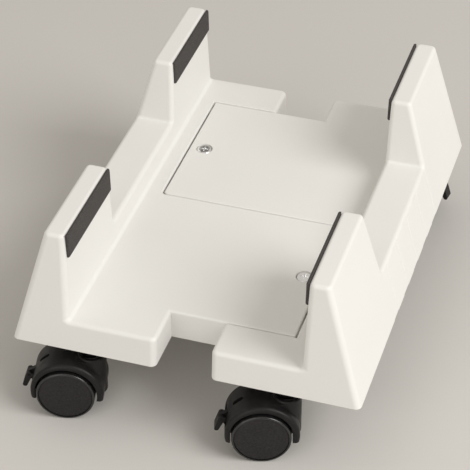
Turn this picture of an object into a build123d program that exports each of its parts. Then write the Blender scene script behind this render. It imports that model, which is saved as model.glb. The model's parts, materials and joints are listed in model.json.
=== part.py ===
from build123d import *
import os
from math import atan2, degrees, hypot

# Rolling stand for a tower computer. Two identical mouldings, one turned end for end, telescope
# into each other so that the bay between their walls fits the tower. Four twin-wheel casters
# carry it, each with a brake lever.
# Millimetres. +X is across the stand, +Y runs to the back, +Z is up, and z = 0 is the floor.

# Overall sizes, with the stand pushed in to its narrowest
length = 314.0            # along Y, at the skirt's bottom edge
width = 241.0             # along X, at the skirt's bottom edge
tray_height = 22.0        # skirt's bottom edge to the tray
rail_height = 38.9        # skirt's bottom edge to the top of the low rail
upright_height = 88.3     # skirt's bottom edge to the top of the uprights
bay_width = 160.6         # between the two inner walls, at the tray
bay_flare = 1.3           # how far each inner wall leans outwards by the upright's top
upright_top = 14.4        # thickness of an upright along X, at its top
upright_length = 81.6     # length of an upright along Y, at its top
gap_lean = 4.1            # how far an upright's inner end leans, from the rail to the top
end_lean = 8.5            # how far the front and back faces lean in, from bottom to top
notch_width = 38.0        # gap between the two feet at the front and at the back
notch_depth = 33.5

# Shell, tongue and floor
wall = 3.0                # skirts, walls and skin
strip_width = 13.3        # from a tongue's end to the foot of the inner wall it stops at
end_gap = 1.3             # open joint at the tongue's end
seam = 0.6                # open joint along the tongue's sides
drain_inset = 9.0         # from the floor's edges to the ends of the slot under the open joint
slide_gap = 0.35          # between a tongue and the floor inside it
travel = 68.0             # how far the stand pulls out
floor_margin = 7.0        # from the slot's end to the floor's end
floor_thickness = 3.0
trough_width = 24.0       # channel along the floor for the boss under the tongue
trough_depth = 2.0
rib_thickness = 2.4
rib_inset = 25.0          # from the end face to the first cross wall in an upright
rib_pitch = 24.0
rib_count = 3
middle_rib = 36.0         # cross wall under the rail, each side of the middle
floor_rib_depth = 9.0
rib_clear = 4.0           # ribs stop this far above the skirt's bottom edge
flute_pitch = 28.6        # shallow flutes down the outer walls
flute_width = 12.4
flute_depth = 0.25
flute_count = 5
round_edge = 4.2          # upright corners of the mouldings
round_window = 3.4        # edges round the opening between the uprights
round_top = 2.8           # top edges
round_tongue = 1.6        # the tongue's free edge
round_seam = 1.2          # edges along the joints between the mouldings
round_corner = 2.0        # inside corners

# Clamp screws
screw_inset = 11.0        # from the tongue's end
screw_radius = 2.5
screw_clearance = 0.5
screw_head_radius = 5.6
screw_head_height = 2.2
round_head = 1.5
head_clearance = 0.5      # round the head, in its counterbore
head_depth = 0.1          # from the tray down to the head
boss_radius = 9.5
boss_gap = 0.3            # under the boss, to the trough
washer_radius = 7.5
washer_thickness = 1.4
clamp_gap = 0.3           # slack left between the washer and the floor
nut_gap = 0.15
nut_radius = 4.8
nut_height = 6.0
nut_wing_span = 22.0
nut_wing_thickness = 2.0
nut_wing_drop = 3.0       # how far the wings hang below the hub
thread_fit = 0.05         # radial clearance of the nut on its screw
cross_length = 5.6        # recess in the screw's head
cross_width = 1.1
cross_depth = 1.2

# Foam pads
pad_length = 78.0
pad_height = 17.4
pad_thickness = 2.0
pad_drop = 0.4            # from the upright's top to the pad's top edge

# Casters, each in its own frame: stem on Z, wheels trailing towards -X, axle along Y
caster_inset_x = 11.8     # from the foot of the inner wall to the stem
caster_inset_y = 12.0     # from the end of the stand to the stem
wheel_radius = 20.0
caster_width = 35.0       # over both wheels
trail = 17.0              # stem's axis to the axle
web_width = 11.2          # the hood's middle, between the wheels
wheel_gap = 0.5           # between a wheel and the hood's middle
axle_radius = 3.0
axle_fit = 0.05
axle_inset = 2.6          # from a wheel's outer face to the axle's end
hub_radius = 5.6
rim_thickness = 2.8
rim_lip = 1.5             # the wheel's rim outside its cap
wheel_web = 2.2
wheel_edge = 1.0
cap_thickness = 1.5
cap_inset = 0.35          # from the wheel's outer face to the cap
cap_groove = 0.25         # fine groove round the cap
hood_gap = 1.3            # between the tread and the hood
hood_thickness = 3.1
hood_width = 30.0
hood_drop = 5.0           # how far the hood's ends reach below the axle
round_hood = 2.4
hood_stretch = 0.6        # half of how much longer the hood is than it is round
column_rise = 1.6         # from the hood's crown to the top of its column
stem_height = 9.0         # from the column's top to the skirt
column_radius = 9.6
round_column = 1.3
axle_boss = 6.5
stem_radius = 4.0
stem_fit = 0.05
stem_rise = 4.0           # from the axle up to the stem's lower end
stem_collar_radius = 6.5
stem_reach = 17.0         # how far the stem goes up into the foot
thrust_washer_radius = 8.0
thrust_washer_thickness = 1.2
swivel_gap = 0.3
socket_radius = 7.0
socket_flange_radius = 9.0
socket_flange = 1.6
boss_wall = 2.6
socket_depth = 18.0
ring_height = 1.8         # spring ring that grips the socket
ring_depth = 0.6
ring_rise = 11.0          # from the skirt's bottom edge to the ring
slot_angle = 50.0         # the hood's small drain slot, up from the trailing side
slot_length = 9.0
slot_width = 3.2

# Brake lever, measured from the axle: out towards the trailing side, and up
pin_stand = 2.0           # from the hood's outside
pin_up = 5.5
pin_radius = 1.2
pin_fit = 0.05
lever_hub = 2.2
lever_width = 7.6
lever_tip_stand = 3.4     # from the pin, outwards
lever_tip_drop = 8.5      # from the pin, downwards
lever_tip_radius = 1.6
shoe_gap = 0.7            # between the lever's shoes and the treads
shoe_height = 2.6
shoe_width = 18.0         # over both shoes
shoe_inset = 1.0          # from the hood's outside to the shoes
window_height = 8.0       # opening in the hood that the shoes swing in
window_gap = 0.35
lug_width = 3.0           # the hood's lug that holds the pin, between the lever's two arms
lug_gap = 0.3

# Worked out from the sizes above
half_length = length / 2
half_width = width / 2
half_bay = bay_width / 2
axle_z = wheel_radius
hood_inner = wheel_radius + hood_gap
hood_outer = hood_inner + hood_thickness
hood_top = axle_z + hood_outer + column_rise
base_z = hood_top + stem_height
tray_z = base_z + tray_height
rail_z = base_z + rail_height
top_z = base_z + upright_height
under_tray = tray_z - wall
tongue_y = half_length - notch_depth
tongue_end = half_bay - strip_width
strip_end = tongue_end + end_gap
foot_end = notch_width / 2
floor_z = under_tray - slide_gap
floor_low = tongue_y - wall - slide_gap
floor_near = seam / 2 + wall + slide_gap
screw_x = tongue_end - screw_inset
screw_y = tongue_y / 2
slot_radius = screw_radius + screw_clearance
floor_overlap = travel - screw_x + slot_radius + floor_margin
screw_top = tray_z - head_depth
trough_z = floor_z - trough_depth
trough_under = trough_z - floor_thickness
washer_z = trough_under - clamp_gap - washer_thickness
nut_z = washer_z - nut_gap - nut_height
caster_x = half_bay - caster_inset_x
caster_y = half_length - caster_inset_y
stem_foot = axle_z + stem_rise
stem_top = base_z + stem_reach
socket_top = base_z + socket_depth
ring_z = base_z + ring_rise
pin_out = hood_outer + pin_stand
arm_gap = lug_width / 2 + lug_gap
wheel_inner_face = web_width / 2 + wheel_gap
wheel_outer_face = caster_width / 2

# Place of each stem, and the way the hood points
casters = {
    "front_left": (-caster_x, -caster_y, 12.7),
    "front_right": (caster_x, -caster_y, 16.8),
    "rear_right": (caster_x, caster_y, 172.0),
    "rear_left": (-caster_x, caster_y, 196.8),
}

os.makedirs("parts", exist_ok=True)


def write(piece, name):
    """Label one finished piece and write its STEP file."""
    piece.part.label = name
    export_step(piece.part, "parts/" + name + ".step")


def outer_x(z):
    """Half-width of the outer wall at height z: it slopes from the skirt to the upright's top."""
    top_half = half_bay + bay_flare + upright_top
    return half_width + (top_half - half_width) * (z - base_z) / upright_height


def inner_x(z):
    """Half-width of the bay at height z."""
    return half_bay + bay_flare * (z - tray_z) / (top_z - tray_z)


def end_y(z):
    """Distance of the front or back face from the middle at height z."""
    return half_length - end_lean * (z - base_z) / upright_height


def gap_y(z):
    """Distance of an upright's inner end from the middle at height z."""
    top_gap = half_length - end_lean - upright_length
    return top_gap - gap_lean * (top_z - z) / (top_z - rail_z)


def left_block(inset, low):
    """The left moulding's outline as one solid, every face but the bottom moved in by inset.

    With no inset it is the outside of the moulding. With an inset of one wall it is the hollow
    inside it, open at the tongue's end where the other moulding's floor slides in.
    """
    high = top_z - inset
    plate = tray_z - inset
    rail = rail_z - inset
    root = half_bay + inset + 1
    tongue = tongue_end + inset
    with BuildPart() as block:
        with BuildSketch(Plane.XZ):
            with BuildLine():
                Polyline(
                    (-outer_x(low) + inset, low),
                    (-outer_x(high) + inset, high),
                    (-inner_x(high) - inset, high),
                    (-inner_x(low) - inset, low),
                    close=True,
                )
            make_face()
        extrude(amount=half_length + 1, both=True)
        with BuildSketch(Plane.XY.offset(low)):
            with BuildLine():
                Polyline(
                    (-root, -half_length),
                    (-foot_end - inset, -half_length),
                    (-foot_end - inset, -tongue_y + inset),
                    (tongue, -tongue_y + inset),
                    (tongue, -seam / 2 - inset),
                    (-strip_end - inset, -seam / 2 - inset),
                    (-strip_end - inset, tongue_y + seam + inset),
                    (-foot_end - inset, tongue_y + seam + inset),
                    (-foot_end - inset, half_length),
                    (-root, half_length),
                    close=True,
                )
            make_face()
        extrude(amount=plate - low)
        with BuildSketch(Plane.YZ):
            with BuildLine():
                Polyline(
                    (-end_y(low) + inset, low),
                    (-end_y(high) + inset, high),
                    (-gap_y(high) - inset, high),
                    (-gap_y(rail) - inset, rail),
                    (gap_y(rail) + inset, rail),
                    (gap_y(high) + inset, high),
                    (end_y(high) - inset, high),
                    (end_y(low) - inset, low),
                    close=True,
                )
            make_face()
        extrude(amount=half_width + 1, both=True, mode=Mode.INTERSECT)
    return block.part


def near(edge, x=None, y=None, z=None, reach=0.6):
    """True when the middle of an edge lies near the given planes."""
    middle = edge @ 0.5
    places = ((middle.X, x), (middle.Y, y), (middle.Z, z))
    return all(wanted is None or abs(value - wanted) < reach for value, wanted in places)


def steep(edge):
    """True for an edge that mostly climbs."""
    run = edge @ 1 - edge @ 0
    return abs(run.Z) > hypot(run.X, run.Y)


# The two mouldings
with BuildPart() as left_hollow:
    add(left_block(wall, base_z - 1))

with BuildPart() as left_ribs:
    # Cross walls under the rail and in the uprights, and a long wall through each caster boss
    rib_inner = strip_end + wall / 2
    rib_places = [half_length - rib_inset - rib_pitch * i for i in range(rib_count)] + [middle_rib]
    rib_spots = [(-(half_width + rib_inner) / 2, side * place) for side in (-1, 1) for place in rib_places]
    with BuildSketch(Plane.XY.offset(base_z + rib_clear)):
        with Locations(rib_spots):
            Rectangle(half_width - rib_inner, rib_thickness)
        with Locations((-(half_width + foot_end) / 2, -caster_y), (-(half_width + foot_end) / 2, caster_y)):
            Rectangle(half_width - foot_end, rib_thickness)
    extrude(amount=upright_height)
    # Their edges bite half a wall deep into the skin all round
    add(left_block(wall / 2, base_z - 1), mode=Mode.INTERSECT)

with BuildPart() as left_floor:
    # The floor that slides inside the other moulding's tongue, with a trough and stiffening ribs
    floor_root = -strip_end - wall / 2
    floor_middle = ((floor_root + floor_overlap) / 2, (floor_near + floor_low) / 2)
    with BuildSketch(Plane.XY.offset(floor_z - floor_thickness)):
        with Locations(floor_middle):
            Rectangle(floor_overlap - floor_root, floor_low - floor_near)
    extrude(amount=floor_thickness)
    with BuildSketch(Plane.XY.offset(trough_under)):
        with Locations((floor_middle[0], screw_y)):
            Rectangle(floor_overlap - floor_root, trough_width + 2 * wall)
    extrude(amount=floor_z - trough_under)
    # Slot under the open joint, so that grit falls through. The ribs below bridge it
    drain = floor_low - floor_near - 2 * drain_inset
    with BuildSketch(Plane.XY.offset(floor_z)):
        with Locations((-strip_end + end_gap, (floor_near + floor_low) / 2)):
            Rectangle(2 * end_gap, drain)
    extrude(amount=-2 * floor_thickness, mode=Mode.SUBTRACT)
    rib_lines = (
        floor_near + rib_thickness / 2,
        (floor_near + screw_y) / 2,
        (floor_low + screw_y) / 2,
        floor_low - rib_thickness / 2,
    )
    with BuildSketch(Plane.XY.offset(floor_z - floor_thickness)):
        with Locations([(floor_middle[0], line) for line in rib_lines]):
            Rectangle(floor_overlap - floor_root, rib_thickness)
    extrude(amount=-floor_rib_depth)
    with BuildSketch(Plane.XY.offset(floor_z)):
        with Locations(((floor_overlap - strip_end) / 2, screw_y)):
            Rectangle(floor_overlap + strip_end, trough_width)
    extrude(amount=-trough_depth, mode=Mode.SUBTRACT)
    with BuildSketch(Plane.XY.offset(trough_z)):
        with Locations((travel / 2 - screw_x, screw_y)):
            SlotCenterToCenter(travel, 2 * slot_radius)
    extrude(amount=-2 * floor_thickness, mode=Mode.SUBTRACT)

with BuildPart() as left_base:
    add(left_block(0, base_z))

    # Inside corners where the rail meets the uprights
    rail_ends = left_base.edges().filter_by(
        lambda e: abs((e @ 0.5).Z - rail_z) < 0.1 and abs(abs((e @ 0.5).Y) - gap_y(rail_z)) < 0.1
    )
    fillet(rail_ends, round_corner)

    # Edges round the opening: each runs up an upright, and along the rail to the other upright
    climbing = left_base.edges().filter_by(steep).filter_by(lambda e: e.length > wall)
    window = climbing.filter_by(lambda e: abs((e @ 0.5).Y) < gap_y(top_z) + 1)
    fillet(window.filter_by(lambda e: (e @ 0.5).Y < 0), round_window)

    # Upright corners at the front and back, and beside the notches
    climbing = left_base.edges().filter_by(steep)
    corners = climbing.filter_by(lambda e: (e @ 0.5).X < 1 - half_bay and abs((e @ 0.5).Y) > end_y(top_z) - 1)
    corners += climbing.filter_by(lambda e: near(e, x=-foot_end) and abs((e @ 0.5).Y) > tongue_y + 5)
    fillet(corners, round_edge)
    fillet(left_base.edges().group_by(Axis.Z)[-1], round_top)

    # Top edges of the feet, which run on along the foot of the inner wall, and of the tongue
    level = left_base.edges().filter_by(lambda e: near(e, z=tray_z, reach=0.01))
    feet = level.filter_by(lambda e: abs(abs((e @ 0.5).Y) - end_y(tray_z)) < round_edge + 0.5)
    feet += level.filter_by(lambda e: near(e, x=-foot_end))
    fillet(feet, round_top)
    fillet(left_base.edges().filter_by(lambda e: near(e, y=-tongue_y, z=tray_z)), round_tongue)
    level = left_base.edges().filter_by(lambda e: near(e, z=tray_z, reach=0.01))
    joints = level.filter_by(lambda e: near(e, x=tongue_end, reach=0.05))
    joints += level.filter_by(lambda e: near(e, x=-strip_end, reach=0.05))
    joints += level.filter_by(lambda e: near(e, y=-seam / 2, reach=0.05))
    joints += level.filter_by(lambda e: near(e, y=tongue_y + seam, reach=0.05))
    fillet(joints, round_seam)

    add(left_hollow.part, mode=Mode.SUBTRACT)
    add(left_ribs.part)
    add(left_floor.part)

    # A boss in each foot for the caster's socket, bored from below
    with BuildSketch(Plane.XY.offset(base_z)):
        with Locations((-caster_x, -caster_y), (-caster_x, caster_y)):
            Circle(socket_radius + boss_wall)
    extrude(amount=under_tray + wall / 2 - base_z)
    with BuildSketch(Plane.XY.offset(base_z - 1)):
        with Locations((-caster_x, -caster_y), (-caster_x, caster_y)):
            Circle(socket_radius)
    extrude(amount=socket_top + 1 - base_z, mode=Mode.SUBTRACT)

    # The clamp screw's boss under the tongue, which runs in the other moulding's trough
    with BuildSketch(Plane.XY.offset(trough_z + boss_gap)):
        with Locations((screw_x, -screw_y)):
            Circle(boss_radius)
    extrude(amount=under_tray + wall / 2 - trough_z - boss_gap)
    with Locations((screw_x, -screw_y, tray_z)):
        CounterBoreHole(
            slot_radius, screw_head_radius + head_clearance, head_depth + screw_head_height, 4 * wall
        )

    # Shallow flutes down the outer wall between the uprights
    slope = Vector(half_width - outer_x(top_z), 0, upright_height)
    outer_face = Plane(
        origin=(-half_width, 0, base_z), x_dir=(0, -1, 0), z_dir=(-slope.Z, 0, slope.X)
    )
    flute_length = slope.length * rail_height / upright_height
    with BuildSketch(outer_face):
        with Locations((0, flute_length / 2)):
            with GridLocations(flute_pitch, 0, flute_count, 1):
                Rectangle(flute_width, flute_length + 2)
    extrude(amount=-flute_depth, taper=45, mode=Mode.SUBTRACT)
write(left_base, "left_base")

with BuildPart() as right_base:
    add(left_base.part, rotation=(0, 0, 180))
write(right_base, "right_base")


# Foam pads on the uprights' inner faces
pad_z = top_z - pad_drop - pad_height / 2
pad_y = (gap_y(pad_z) + end_y(pad_z)) / 2
for side, turn in (("left", 0), ("right", 180)):
    for end, pad_side in (("front", -1), ("rear", 1)):
        if turn:
            pad_side = -pad_side
        inner_face = Plane(
            origin=(-inner_x(pad_z), pad_side * pad_y, pad_z),
            x_dir=(0, 1, 0),
            z_dir=(top_z - tray_z, 0, bay_flare),
        )
        with BuildPart() as pad:
            with BuildSketch(inner_face):
                RectangleRounded(pad_length, pad_height, 1.0)
            extrude(amount=pad_thickness)
        with BuildPart() as placed:
            add(pad.part, rotation=(0, 0, turn))
        write(placed, end + "_" + side + "_pad")


# Clamp screws, each with its washer and wing nut, made for the front one
with BuildPart() as screw:
    with BuildSketch(Plane.XY.offset(screw_top)):
        Circle(screw_head_radius)
    extrude(amount=-screw_head_height)
    fillet(screw.edges().group_by(Axis.Z)[-1], round_head)
    with BuildSketch(Plane.XY.offset(screw_top)):
        Rectangle(cross_length, cross_width)
        Rectangle(cross_width, cross_length)
    extrude(amount=-cross_depth, mode=Mode.SUBTRACT)
    with BuildSketch(Plane.XY.offset(screw_top - screw_head_height)):
        Circle(screw_radius)
    extrude(amount=nut_z - 1 - screw_top + screw_head_height)
    chamfer(screw.edges().group_by(Axis.Z)[0], 0.5)

with BuildPart() as washer:
    with BuildSketch(Plane.XY.offset(washer_z)):
        Circle(washer_radius)
        Circle(screw_radius + screw_clearance, mode=Mode.SUBTRACT)
    extrude(amount=washer_thickness)
    chamfer(washer.edges().group_by(Axis.Z)[0], 0.2)

with BuildPart() as wing_nut:
    with BuildSketch(Plane.XY.offset(nut_z)):
        Circle(nut_radius)
    extrude(amount=nut_height)
    fillet(wing_nut.edges().group_by(Axis.Z)[0], 0.8)
    with BuildSketch(Plane.XZ):
        wing = nut_wing_span / 2
        for hand in (-1, 1):
            with BuildLine():
                Polyline(
                    (hand * nut_radius / 2, nut_z + nut_height - 1),
                    (hand * (wing - 2), nut_z + nut_height / 3),
                    (hand * wing, nut_z),
                    (hand * (wing - 1.5), nut_z - nut_wing_drop),
                    (hand * (wing - 4), nut_z - nut_wing_drop),
                    (hand * nut_radius / 2, nut_z + 0.5),
                    close=True,
                )
            make_face()
    extrude(amount=nut_wing_thickness / 2, both=True)
    with BuildSketch(Plane.XY.offset(nut_z)):
        Circle(screw_radius + thread_fit)
    extrude(amount=nut_height, mode=Mode.SUBTRACT)

for end, turn in (("front", 0), ("rear", 180)):
    place = Location((0, 0, 0), (0, 0, turn)) * Location((screw_x, -screw_y, 0))
    for piece, label in ((screw, "clamp_screw"), (washer, "clamp_washer"), (wing_nut, "wing_nut")):
        with BuildPart() as placed:
            add(piece.part.moved(place))
        write(placed, end + "_" + label)


# Caster pieces, in the caster's own frame
def from_axle(out, up):
    """A point on the wheel's middle plane, measured from the axle towards the trailing side."""
    return (-trail - out, axle_z + up)


with BuildPart() as socket:
    with BuildSketch(Plane.XY.offset(base_z - socket_flange)):
        Circle(socket_flange_radius)
    extrude(amount=socket_flange)
    fillet(socket.edges().group_by(Axis.Z)[0], 0.6)
    with BuildSketch(Plane.XY.offset(base_z)):
        Circle(socket_radius)
    extrude(amount=socket_top - base_z)
    with BuildSketch(Plane.XY.offset(base_z - socket_flange)):
        Circle(stem_radius + stem_fit)
    extrude(amount=socket_top - base_z + socket_flange, mode=Mode.SUBTRACT)
    with BuildSketch(Plane.XY.offset(ring_z - 0.1)):
        Circle(stem_radius + ring_depth + 0.1)
    extrude(amount=ring_height + 0.2, mode=Mode.SUBTRACT)

with BuildPart() as stem:
    with BuildSketch(Plane.XY.offset(stem_foot)):
        Circle(stem_radius)
    extrude(amount=stem_top - stem_foot)
    chamfer(stem.edges().group_by(Axis.Z)[-1], 0.8)
    collar_low = hood_top + swivel_gap + thrust_washer_thickness
    with BuildSketch(Plane.XY.offset(collar_low)):
        Circle(stem_collar_radius)
    extrude(amount=base_z - socket_flange - collar_low)
    with BuildSketch(Plane.XY.offset(ring_z)):
        Circle(stem_radius)
        Circle(stem_radius - ring_depth, mode=Mode.SUBTRACT)
    extrude(amount=ring_height, mode=Mode.SUBTRACT)

with BuildPart() as grip_ring:
    with BuildSketch(Plane.XY.offset(ring_z)):
        Circle(stem_radius + ring_depth)
        Circle(stem_radius - ring_depth, mode=Mode.SUBTRACT)
        with Locations((stem_radius, 0)):
            Rectangle(2 * stem_radius, stem_radius, mode=Mode.SUBTRACT)
    extrude(amount=ring_height)

with BuildPart() as thrust_washer:
    with BuildSketch(Plane.XY.offset(hood_top + swivel_gap)):
        Circle(thrust_washer_radius)
        Circle(stem_radius + stem_fit, mode=Mode.SUBTRACT)
    extrude(amount=thrust_washer_thickness)


def lug(grow):
    """Outline of the lug that holds the lever's pin, made larger all round by grow."""
    with Locations(from_axle(pin_out, pin_up)):
        Circle(lever_hub + grow)
    with Locations(from_axle(hood_outer - 1.6, pin_up - window_height + 1.5)):
        Circle(1.3 + grow)
    with Locations(from_axle(hood_outer - 3, pin_up + 4)):
        Circle(1.3 + grow)
    make_hull()


with BuildPart() as hood:
    hood_low = axle_z - hood_drop
    with BuildSketch(Plane.XZ):
        with Locations(from_axle(-hood_stretch, 0)):
            Circle(hood_outer + hood_stretch)
        with Locations(from_axle(0, -hood_drop - hood_outer)):
            Rectangle(3 * hood_outer, 2 * hood_outer, mode=Mode.SUBTRACT)
    extrude(amount=hood_width / 2, both=True)
    fillet(hood.edges().filter_by(GeomType.CIRCLE), round_hood)
    # Column round the stem, and the shoulder that joins it to the hood's crown
    with BuildSketch(Plane.XY.offset(hood_low)):
        Circle(column_radius)
    extrude(amount=hood_top - hood_low)
    fillet(hood.edges().group_by(Axis.Z)[-1], round_column)
    with BuildSketch(Plane.XY.offset(axle_z)):
        with Locations((-trail / 2, 0)):
            Rectangle(trail, 2 * column_radius)
    extrude(amount=hood_outer)
    # Window for the lever's shoes, and the lug that stands in it
    with BuildSketch(Plane.XZ):
        with Locations(from_axle(hood_outer, pin_up - window_height / 2 + shoe_height)):
            Rectangle(4 * hood_thickness, window_height)
    extrude(amount=shoe_width / 2 + window_gap, both=True, mode=Mode.SUBTRACT)
    with BuildSketch(Plane.XZ):
        lug(0)
    extrude(amount=lug_width / 2, both=True)
    with BuildSketch(Plane.XZ):
        with Locations(from_axle(0, 0)):
            Circle(hood_inner)
    extrude(amount=hood_width, both=True, mode=Mode.SUBTRACT)
    # The middle wall that carries the axle and the stem
    with BuildSketch(Plane.XZ):
        with Locations(from_axle(0, 0)):
            Circle(hood_inner + 0.4)
        with Locations(from_axle(0, -hood_drop - hood_outer)):
            Rectangle(3 * hood_outer, 2 * hood_outer, mode=Mode.SUBTRACT)
        with Locations(from_axle(0, 0)):
            Circle(axle_boss)
        with Locations(from_axle(hood_inner + 1, pin_up - 1)):
            Circle(shoe_height + 3, mode=Mode.SUBTRACT)
    extrude(amount=web_width / 2, both=True)
    with BuildSketch(Plane.XZ):
        with Locations(from_axle(0, 0)):
            Circle(axle_radius)
        with Locations(from_axle(pin_out, pin_up)):
            Circle(pin_radius)
    extrude(amount=hood_width, both=True, mode=Mode.SUBTRACT)
    with BuildSketch(Plane.XY.offset(stem_foot - 0.5)):
        Circle(stem_radius + stem_fit)
    extrude(amount=hood_top, mode=Mode.SUBTRACT)
    # Small drain slot in the crown
    out = Vector(-1, 0, 0).rotate(Axis.Y, slot_angle)
    crown = Vector(-trail, 0, axle_z) + out * (hood_outer + hood_stretch)
    with BuildSketch(Plane(origin=crown, x_dir=(out.Z, 0, -out.X), z_dir=out)):
        SlotOverall(slot_length, slot_width)
    extrude(amount=-hood_thickness - 2, mode=Mode.SUBTRACT)

with BuildPart() as axle:
    with BuildSketch(Plane.XZ):
        with Locations(from_axle(0, 0)):
            Circle(axle_radius)
    extrude(amount=wheel_outer_face - axle_inset, both=True)
    chamfer(axle.edges().filter_by(GeomType.CIRCLE), 0.4)

with BuildPart() as wheel:
    # Seen in section: the hub, a thin web and the rim, with its outer face towards -Y
    inner, outer = -wheel_inner_face, -wheel_outer_face
    hub_face = outer + axle_inset
    web_face = (hub_face + inner) / 2
    rim_inner = wheel_radius - rim_thickness
    lip_inner = wheel_radius - rim_lip
    cap_seat = outer + cap_inset + cap_thickness
    with BuildSketch(Plane.YZ):
        with BuildLine():
            Polyline(
                (inner, axle_radius + axle_fit),
                (inner, hub_radius),
                (web_face + wheel_web / 2, hub_radius),
                (web_face + wheel_web / 2, rim_inner),
                (inner, rim_inner),
                (inner, wheel_radius),
                (outer, wheel_radius),
                (outer, lip_inner),
                (cap_seat, lip_inner),
                (cap_seat, rim_inner),
                (web_face - wheel_web / 2, rim_inner),
                (web_face - wheel_web / 2, hub_radius),
                (hub_face, hub_radius),
                (hub_face, axle_radius + axle_fit),
                close=True,
            )
        make_face()
    revolve(axis=Axis.Y)
    treads = wheel.edges().filter_by(lambda e: e.length > 6 * wheel_radius)
    fillet(treads, wheel_edge)

with BuildPart() as cap:
    cap_face = outer + cap_inset
    with BuildSketch(Plane.XZ.offset(-cap_face - cap_thickness)):
        Circle(lip_inner - cap_groove)
    extrude(amount=cap_thickness)
    fillet(cap.edges().group_by(Axis.Y)[0], 0.5)
    # A ring behind the face that stands on the wheel's web
    with BuildSketch(Plane.XZ.offset(-web_face + wheel_web / 2)):
        Circle(rim_inner - 2)
        Circle(rim_inner - 3.5, mode=Mode.SUBTRACT)
    extrude(amount=web_face - wheel_web / 2 - cap_face - cap_thickness)

with BuildPart() as lever:
    # Paddle below the pin, the two arms round the lug, and a shoe on each over its wheel's tread
    with BuildSketch(Plane.XZ):
        with Locations(from_axle(pin_out, pin_up)):
            Circle(lever_hub)
        with Locations(from_axle(pin_out + lever_tip_stand, pin_up - lever_tip_drop)):
            Circle(lever_tip_radius)
        make_hull()
        with Locations(from_axle((pin_out + wheel_radius) / 2, pin_up)):
            Rectangle(pin_out - wheel_radius, shoe_height)
    extrude(amount=lever_width / 2, both=True)
    with BuildSketch(Plane.XZ):
        with Locations(from_axle((hood_outer - shoe_inset + wheel_radius) / 2, pin_up)):
            Rectangle(hood_outer - shoe_inset - wheel_radius, shoe_height)
    extrude(amount=shoe_width / 2, both=True)
    with BuildSketch(Plane.XZ):
        with Locations(from_axle((pin_out + wheel_radius) / 2, pin_up)):
            Rectangle(pin_out - wheel_radius + 1, 2 * lever_hub + 1)
        with BuildSketch(mode=Mode.PRIVATE) as clear:
            lug(lug_gap)
        add(clear.sketch)
    extrude(amount=arm_gap, both=True, mode=Mode.SUBTRACT)
    with BuildSketch(Plane.XZ):
        with Locations(from_axle(0, 0)):
            Circle(wheel_radius + shoe_gap)
        with Locations(from_axle(pin_out, pin_up)):
            Circle(pin_radius + pin_fit)
    extrude(amount=shoe_width, both=True, mode=Mode.SUBTRACT)

with BuildPart() as lever_pin:
    with BuildSketch(Plane.XZ):
        with Locations(from_axle(pin_out, pin_up)):
            Circle(pin_radius)
    extrude(amount=lever_width / 2, both=True)

on_axle = Location((-trail, 0, axle_z))
for name, (x, y, yaw) in casters.items():
    pieces = {
        "stem_socket": socket.part,
        "stem": stem.part,
        "grip_ring": grip_ring.part,
        "thrust_washer": thrust_washer.part,
        "hood": hood.part,
        "axle": axle.part,
        "outer_wheel": wheel.part.moved(on_axle),
        "inner_wheel": mirror(wheel.part, about=Plane.XZ).moved(on_axle),
        "outer_cap": cap.part.moved(on_axle),
        "inner_cap": mirror(cap.part, about=Plane.XZ).moved(on_axle),
        "brake_lever": lever.part,
        "lever_pin": lever_pin.part,
    }
    for label, solid in pieces.items():
        with BuildPart() as placed:
            add(solid.moved(Location((x, y, 0), (0, 0, yaw))))
        write(placed, name + "_" + label)
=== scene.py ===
import json
import math

import bmesh
import bpy
from mathutils import Matrix, Vector, noise


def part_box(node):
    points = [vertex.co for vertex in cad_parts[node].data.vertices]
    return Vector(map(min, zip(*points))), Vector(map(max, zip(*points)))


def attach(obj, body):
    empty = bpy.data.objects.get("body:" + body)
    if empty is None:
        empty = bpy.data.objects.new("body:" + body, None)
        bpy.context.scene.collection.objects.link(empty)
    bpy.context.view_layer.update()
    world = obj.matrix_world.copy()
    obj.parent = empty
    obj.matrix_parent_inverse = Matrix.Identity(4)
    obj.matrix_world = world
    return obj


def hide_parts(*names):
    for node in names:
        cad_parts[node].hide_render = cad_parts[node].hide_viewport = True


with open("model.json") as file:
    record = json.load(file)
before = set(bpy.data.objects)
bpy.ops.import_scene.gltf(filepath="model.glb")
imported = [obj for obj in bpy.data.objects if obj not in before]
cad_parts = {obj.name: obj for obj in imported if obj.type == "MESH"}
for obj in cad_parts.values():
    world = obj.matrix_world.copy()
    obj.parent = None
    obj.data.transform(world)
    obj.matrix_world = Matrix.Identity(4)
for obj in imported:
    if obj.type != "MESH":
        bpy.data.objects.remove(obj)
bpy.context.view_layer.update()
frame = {"nodes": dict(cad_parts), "record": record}

MM = 0.001
nodes = frame["nodes"]
bodies = frame["record"]["behaviour"]["bodies"]
body_of = {node: body for body, group in bodies.items() for node in group}


# ---------------------------------------------------------------- camera
CAMERA_PLACE = (0.3169, -1.0513, 0.9024)
CAMERA_AZIMUTH = math.radians(17.42)
CAMERA_ELEVATION = math.radians(37.684)
CAMERA_ROLL = math.radians(-0.083)
CAMERA_LENS = 147.86
CAMERA_SENSOR = 36.0


def add_camera():
    data = bpy.data.cameras.new("camera")
    data.lens = CAMERA_LENS
    data.sensor_width = CAMERA_SENSOR
    data.clip_end = 20
    camera = bpy.data.objects.new("camera", data)
    turn = Matrix.Rotation(CAMERA_AZIMUTH, 4, "Z")
    tilt = Matrix.Rotation(math.pi / 2 - CAMERA_ELEVATION, 4, "X")
    roll = Matrix.Rotation(CAMERA_ROLL, 4, "Z")
    camera.matrix_world = Matrix.Translation(CAMERA_PLACE) @ turn @ tilt @ roll
    bpy.context.scene.collection.objects.link(camera)
    bpy.context.scene.camera = camera


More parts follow.
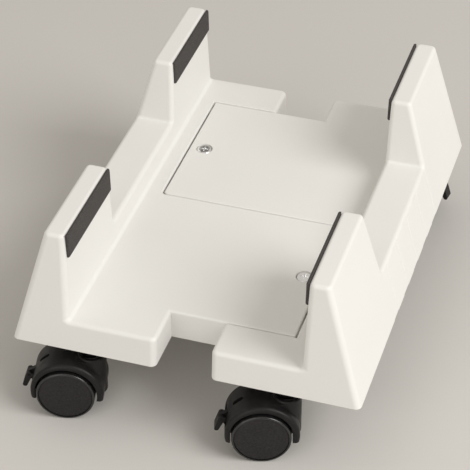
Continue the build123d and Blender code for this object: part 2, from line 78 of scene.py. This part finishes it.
# ---------------------------------------------------------------- material helpers
class Shader:
    """A Principled material with short ways to add the nodes that this scene uses.

    The plain colour and roughness are the middle of what the noise makes of them.
    """

    def __init__(self, name, color, roughness, **sockets):
        self.material = bpy.data.materials.new(name)
        self.material.use_nodes = True
        self.tree = self.material.node_tree
        self.bsdf = self.tree.nodes["Principled BSDF"]
        self.bsdf.inputs["Base Color"].default_value = (*color, 1)
        self.bsdf.inputs["Roughness"].default_value = roughness
        for socket, value in sockets.items():
            self.bsdf.inputs[socket.replace("_", " ")].default_value = value
        self.place = self.add("ShaderNodeTexCoord").outputs["Object"]

    def add(self, kind, **settings):
        node = self.tree.nodes.new(kind)
        for key, value in settings.items():
            setattr(node, key, value)
        return node

    def link(self, out, into):
        self.tree.links.new(out, into)

    def noise(self, scale, detail=2.0, roughness=0.5, stretch=None):
        place = self.place
        if stretch:
            mapping = self.add("ShaderNodeMapping")
            mapping.inputs["Scale"].default_value = stretch
            self.link(place, mapping.inputs["Vector"])
            place = mapping.outputs["Vector"]
        node = self.add("ShaderNodeTexNoise")
        node.inputs["Scale"].default_value = scale
        node.inputs["Detail"].default_value = detail
        node.inputs["Roughness"].default_value = roughness
        self.link(place, node.inputs["Vector"])
        return node.outputs["Fac"]

    def cells(self, scale):
        node = self.add("ShaderNodeTexVoronoi")
        node.inputs["Scale"].default_value = scale
        self.link(self.place, node.inputs["Vector"])
        return node.outputs["Distance"]

    def ramp(self, value, low, high, start, end):
        """Map a value from low..high onto start..end, held at the ends."""
        node = self.add("ShaderNodeMapRange")
        self.link(value, node.inputs["Value"])
        limits = {"From Min": low, "From Max": high, "To Min": start, "To Max": end}
        for name, number in limits.items():
            node.inputs[name].default_value = number
        return node.outputs["Result"]

    def mix(self, factor, first, second):
        """Blend two plain colours by a factor."""
        node = self.add("ShaderNodeMix", data_type="RGBA")
        inputs = {socket.identifier: socket for socket in node.inputs}
        outputs = {socket.identifier: socket for socket in node.outputs}
        self.link(factor, inputs["Factor_Float"])
        inputs["A_Color"].default_value = (*first, 1)
        inputs["B_Color"].default_value = (*second, 1)
        return outputs["Result_Color"]

    def color(self, out):
        self.link(out, self.bsdf.inputs["Base Color"])

    def roughness(self, out):
        self.link(out, self.bsdf.inputs["Roughness"])

    def bump(self, *layers):
        """Stack bump layers, each (height, distance in metres, strength)."""
        normal = None
        for height, distance, strength in layers:
            node = self.add("ShaderNodeBump")
            node.inputs["Distance"].default_value = distance
            node.inputs["Strength"].default_value = strength
            self.link(height, node.inputs["Height"])
            if normal:
                self.link(normal, node.inputs["Normal"])
            normal = node.outputs["Normal"]
        self.link(normal, self.bsdf.inputs["Normal"])


# ---------------------------------------------------------------- materials
def moulded_white():
    """Warm off-white moulded plastic with a fine spark-eroded grain."""
    shader = Shader("moulded_white", (0.79, 0.785, 0.76), 0.5, Specular_IOR_Level=0.4)
    cloud = shader.ramp(shader.noise(9, 3), 0.3, 0.7, 0, 1)
    shader.color(shader.mix(cloud, (0.775, 0.770, 0.745), (0.80, 0.795, 0.77)))
    shader.roughness(shader.ramp(shader.noise(45, 4), 0.3, 0.7, 0.46, 0.56))
    grain = (shader.noise(2600, 3, 0.6), 0.00006, 0.35)
    sink = (shader.noise(22, 2), 0.0004, 0.06)
    shader.bump(grain, sink)
    return shader.material


def moulded_black():
    """Black nylon of the hoods and levers, with a dry satin grain."""
    shader = Shader("moulded_black", (0.010, 0.009, 0.0093), 0.42, Specular_IOR_Level=0.26)
    cloud = shader.ramp(shader.noise(60, 4), 0.35, 0.7, 0, 1)
    shader.color(shader.mix(cloud, (0.007, 0.0062, 0.0064), (0.014, 0.0128, 0.0128)))
    shader.roughness(shader.ramp(shader.noise(160, 4), 0.3, 0.7, 0.34, 0.50))
    shader.bump((shader.noise(3200, 3, 0.6), 0.00007, 0.5))
    return shader.material


def wheel_black():
    """Harder, shinier black of the wheel rims, with a little dust in its grain."""
    shader = Shader("wheel_black", (0.010, 0.0095, 0.010), 0.2, Specular_IOR_Level=0.7)
    dust = shader.ramp(shader.noise(300, 5, 0.65), 0.55, 0.75, 0, 1)
    shader.color(shader.mix(dust, (0.008, 0.0078, 0.008), (0.026, 0.025, 0.025)))
    shader.roughness(shader.ramp(shader.noise(220, 4), 0.3, 0.7, 0.16, 0.28))
    shader.bump((shader.noise(1500, 3), 0.00004, 0.25))
    return shader.material


def cap_black():
    """The wheel's face disc: charcoal with a leathery spark grain."""
    shader = Shader("cap_black", (0.016, 0.0145, 0.015), 0.46, Specular_IOR_Level=0.32)
    speck = shader.ramp(shader.noise(700, 4, 0.7), 0.38, 0.66, 0, 1)
    shader.color(shader.mix(speck, (0.009, 0.008, 0.0085), (0.022, 0.020, 0.021)))
    shader.roughness(shader.ramp(shader.noise(400, 3), 0.3, 0.7, 0.40, 0.56))
    shader.bump((shader.noise(1800, 4, 0.65), 0.00012, 0.7))
    return shader.material


def zinc():
    """Bright zinc plate with faint turning marks."""
    shader = Shader("zinc", (0.92, 0.93, 0.94), 0.12, Metallic=1.0)
    tone = shader.ramp(shader.noise(500, 4, 0.6), 0.3, 0.7, 0, 1)
    shader.color(shader.mix(tone, (0.88, 0.89, 0.91), (0.97, 0.97, 0.96)))
    shader.roughness(shader.ramp(shader.noise(900, 3), 0.3, 0.7, 0.08, 0.18))
    shader.bump((shader.noise(1600, 2, stretch=(1, 1, 12)), 0.00003, 0.4))
    return shader.material


def black_zinc():
    """Black-plated steel of the stems and lever pins."""
    shader = Shader("black_zinc", (0.022, 0.021, 0.022), 0.42, Metallic=1.0)
    tone = shader.ramp(shader.noise(400, 4, 0.6), 0.3, 0.7, 0, 1)
    shader.color(shader.mix(tone, (0.018, 0.017, 0.018), (0.036, 0.035, 0.035)))
    shader.roughness(shader.ramp(shader.noise(700, 3), 0.3, 0.7, 0.32, 0.46))
    return shader.material


def foam():
    """Dark grey closed-cell foam: dull, with fine open cells on its skin."""
    shader = Shader("foam", (0.075, 0.068, 0.063), 0.9, Specular_IOR_Level=0.2)
    cells = shader.cells(1500)
    # Painted shade: the colour darkens towards the middle of each cell, in the pits that the
    # bump below sinks
    tone = shader.ramp(cells, 0.05, 0.6, 0, 1)
    shader.color(shader.mix(tone, (0.032, 0.029, 0.028), (0.078, 0.071, 0.068)))
    shader.roughness(shader.ramp(shader.noise(700, 3), 0.3, 0.7, 0.8, 0.95))
    skin = (shader.noise(900, 4, 0.7), 0.0002, 0.6)
    shader.bump((cells, 0.0003, 0.6), skin)
    return shader.material


def floor_finish():
    """Plain pale matt floor."""
    shader = Shader("pale_floor", (0.60, 0.585, 0.56), 0.6, Specular_IOR_Level=0.25)
    shader.roughness(shader.ramp(shader.noise(3, 2), 0.3, 0.7, 0.55, 0.65))
    return shader.material


# ---------------------------------------------------------------- mesh helpers
def new_piece(name, mesh, material, body):
    """A finished mesh as an object that rides on a body."""
    piece = bpy.data.objects.new(name, mesh)
    bpy.context.scene.collection.objects.link(piece)
    piece.data.materials.append(material)
    for face in piece.data.polygons:
        face.use_smooth = True
    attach(piece, body)
    return piece


# ---------------------------------------------------------------- pads
PAD_STEPS = (130, 34)      # grid along the pad's length and height
PAD_THICKNESS = 2 * MM
PAD_EDGE = 0.8 * MM        # soft rounding of the pad's edges
PAD_WAVE = 0.06 * MM       # gentle unevenness of the stuck-down strip
PAD_WAVE_SCALE = 60        # waves per metre
WAVE_FADE = 3 * PAD_EDGE   # the unevenness grows to its full size this far in from the edge
HEIGHT_FIRST = 10          # weighs height over side when picking the pad's corners


def foam_pad(node, material):
    """A die-cut foam strip: rounded edges and a slightly uneven skin, on the CAD pad's place."""
    cad = nodes[node]
    low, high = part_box(node)
    side = 1 if "left" in node else -1
    # The pad leans with the wall, so take its frame from the CAD corners
    points = [vertex.co for vertex in cad.data.vertices]
    top_back = max(points, key=lambda p: p.z * HEIGHT_FIRST - side * p.x)
    low_back = min(points, key=lambda p: p.z * HEIGHT_FIRST + side * p.x)
    up = Vector((top_back.x - low_back.x, 0, top_back.z - low_back.z))
    height = up.length
    up.normalize()
    along = Vector((0, 1, 0))
    out = along.cross(up) if side > 0 else up.cross(along)
    length = high.y - low.y
    corner = Vector((low_back.x, low.y, low_back.z))
    mesh = bpy.data.meshes.new(node + "_foam")
    bm = bmesh.new()
    rows = []
    steps_u, steps_v = PAD_STEPS
    for i in range(steps_u + 1):
        row = []
        for j in range(steps_v + 1):
            u = length * i / steps_u
            v = height * j / steps_v
            edge = min(u, length - u, v, height - v)
            short = 1 - min(edge / PAD_EDGE, 1)
            drop = PAD_EDGE * (1 - math.sqrt(max(0.0, 1 - short ** 2)))
            wave = noise.noise(Vector((u, v, side)) * PAD_WAVE_SCALE) * PAD_WAVE
            wave *= min(edge / WAVE_FADE, 1)
            place = corner + along * u + up * v + out * (PAD_THICKNESS - drop + wave)
            row.append(bm.verts.new(place))
        rows.append(row)
    for i in range(steps_u):
        for j in range(steps_v):
            near, far = rows[i], rows[i + 1]
            bm.faces.new((near[j], far[j], far[j + 1], near[j + 1]))
    # Side walls down to the wall face, and the back
    rim = [rows[i][0] for i in range(steps_u)]
    rim += [rows[steps_u][j] for j in range(steps_v)]
    rim += [rows[i][steps_v] for i in range(steps_u, 0, -1)]
    rim += [rows[0][j] for j in range(steps_v, 0, -1)]
    back = [bm.verts.new(v.co - out * (v.co - corner).dot(out)) for v in rim]
    for k in range(len(rim)):
        n = (k + 1) % len(rim)
        bm.faces.new((rim[n], rim[k], back[k], back[n]))
    bm.faces.new(back)
    bmesh.ops.recalc_face_normals(bm, faces=bm.faces)
    bm.to_mesh(mesh)
    bm.free()
    piece = new_piece(node + "_foam", mesh, material, body_of[node])
    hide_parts(node)


# ---------------------------------------------------------------- dress the CAD nodes
BRIGHT_PARTS = ("_clamp_screw", "_clamp_washer", "_wing_nut", "_axle")
DARK_PARTS = ("_stem", "_grip_ring", "_thrust_washer", "_lever_pin")


def paint(node, material):
    data = nodes[node].data
    data.materials.clear()
    data.materials.append(material)


def dress():
    white = moulded_white()
    black = moulded_black()
    wheel = wheel_black()
    cap = cap_black()
    steel = zinc()
    dark_steel = black_zinc()
    soft = foam()
    for name in nodes:
        if name.endswith("_base"):
            paint(name, white)
        elif name.endswith(BRIGHT_PARTS):
            paint(name, steel)
        elif name.endswith(DARK_PARTS):
            paint(name, dark_steel)
        elif name.endswith("_wheel"):
            paint(name, wheel)
        elif name.endswith("_cap"):
            paint(name, cap)
        elif name.endswith("_pad"):
            paint(name, soft)
            foam_pad(name, soft)
        else:
            paint(name, black)


# ---------------------------------------------------------------- floor and light
FLOOR_SIZE = 6
SKY_COLOR = (1.0, 0.945, 0.87)
SKY_STRENGTH = 0.57
LIGHT_AIM = Vector((0, 0, 0.08))       # the middle of the stand


def add_light(name, place, size, power, color):
    """A soft round area light pointed at the stand."""
    data = bpy.data.lights.new(name, "AREA")
    data.shape = "DISK"
    data.size = size
    data.energy = power
    data.color = color
    light = bpy.data.objects.new(name, data)
    light.location = place
    light.rotation_euler = (LIGHT_AIM - Vector(place)).to_track_quat("-Z", "Y").to_euler()
    bpy.context.scene.collection.objects.link(light)


def stage():
    bpy.ops.mesh.primitive_plane_add(size=FLOOR_SIZE, location=(0, 0, 0))
    floor = bpy.context.object
    floor.name = "floor"
    floor.data.materials.append(floor_finish())

    world = bpy.data.worlds.new("world")
    bpy.context.scene.world = world
    world.use_nodes = True
    sky = world.node_tree.nodes["Background"].inputs
    sky["Color"].default_value = (*SKY_COLOR, 1)
    sky["Strength"].default_value = SKY_STRENGTH

    # Key from the right and above; a weak fill, low at the front
    add_light("key", (1.7, -0.45, 1.5), 1.5, 34, (1.0, 0.995, 0.985))
    add_light("fill", (-0.6, -2.1, 0.9), 1.8, 10, (1.0, 0.985, 0.965))
    bpy.context.scene.view_settings.view_transform = "Standard"


add_camera()
dress()
stage()
